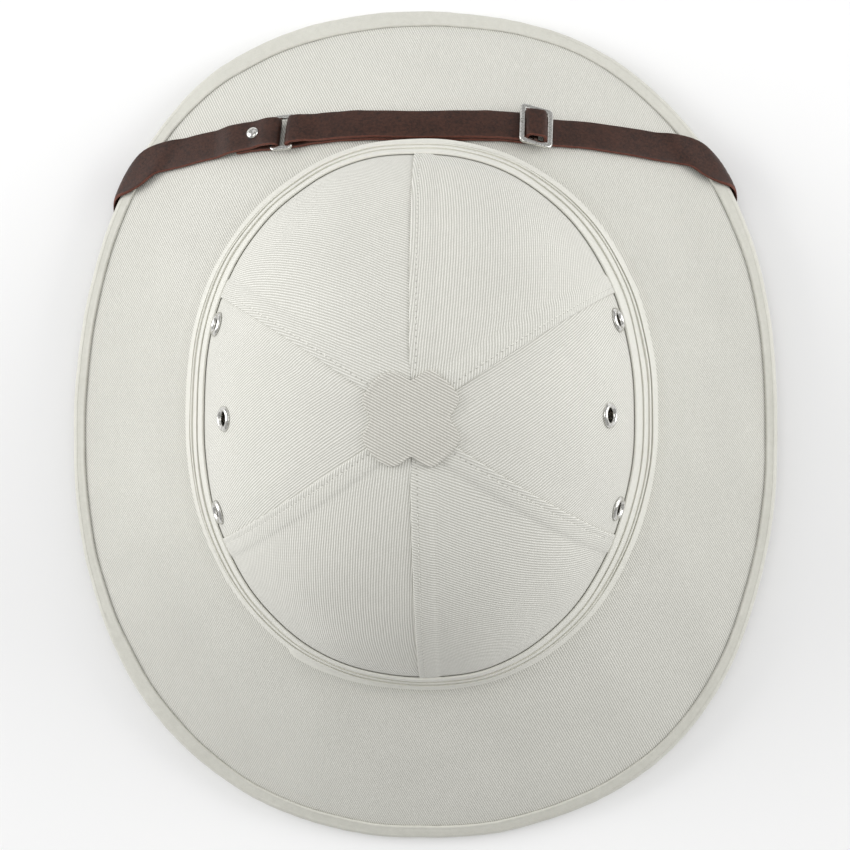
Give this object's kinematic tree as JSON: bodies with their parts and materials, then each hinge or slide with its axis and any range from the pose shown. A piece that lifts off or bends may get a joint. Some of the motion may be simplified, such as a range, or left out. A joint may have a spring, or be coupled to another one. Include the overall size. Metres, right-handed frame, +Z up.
{
  "type": "pith helmet",
  "caption": "Cloth covered pith helmet with a pleated band, vent eyelets, a four lobed top patch and a leather chin strap worn over the front of the brim.",
  "frame": {"origin": "on the surface that the helmet rests on, under the middle of its box", "axes": "+Z up, the front of the helmet faces -Y, its left side is +X"},
  "size_m": [0.2886, 0.3431, 0.1385],
  "materials": {
    "moulded_pith": "matt",
    "stone_twill": "matt twill",
    "band_cloth": "matt",
    "brown_leather": "satin grain",
    "nickel": "polished"
  },
  "bodies": {
    "root": {"pith_shell": "moulded_pith", "crown_panel_1": "stone_twill", "crown_panel_2": "stone_twill", "crown_panel_3": "stone_twill", "crown_panel_4": "stone_twill", "crown_panel_5": "stone_twill", "crown_panel_6": "stone_twill", "brim_cover": "stone_twill", "rim_binding": "stone_twill", "hat_band": "band_cloth", "top_patch": "stone_twill", "eyelet_left_front": "nickel", "eyelet_left_middle": "nickel", "eyelet_left_back": "nickel", "eyelet_right_front": "nickel", "eyelet_right_middle": "nickel", "eyelet_right_back": "nickel", "strap_short": "brown_leather", "strap_long": "brown_leather", "strap_ring": "nickel", "slide_buckle": "nickel", "strap_stud": "nickel", "strap_anchor_left": "nickel", "strap_anchor_right": "nickel"}
  },
  "joints": []
}
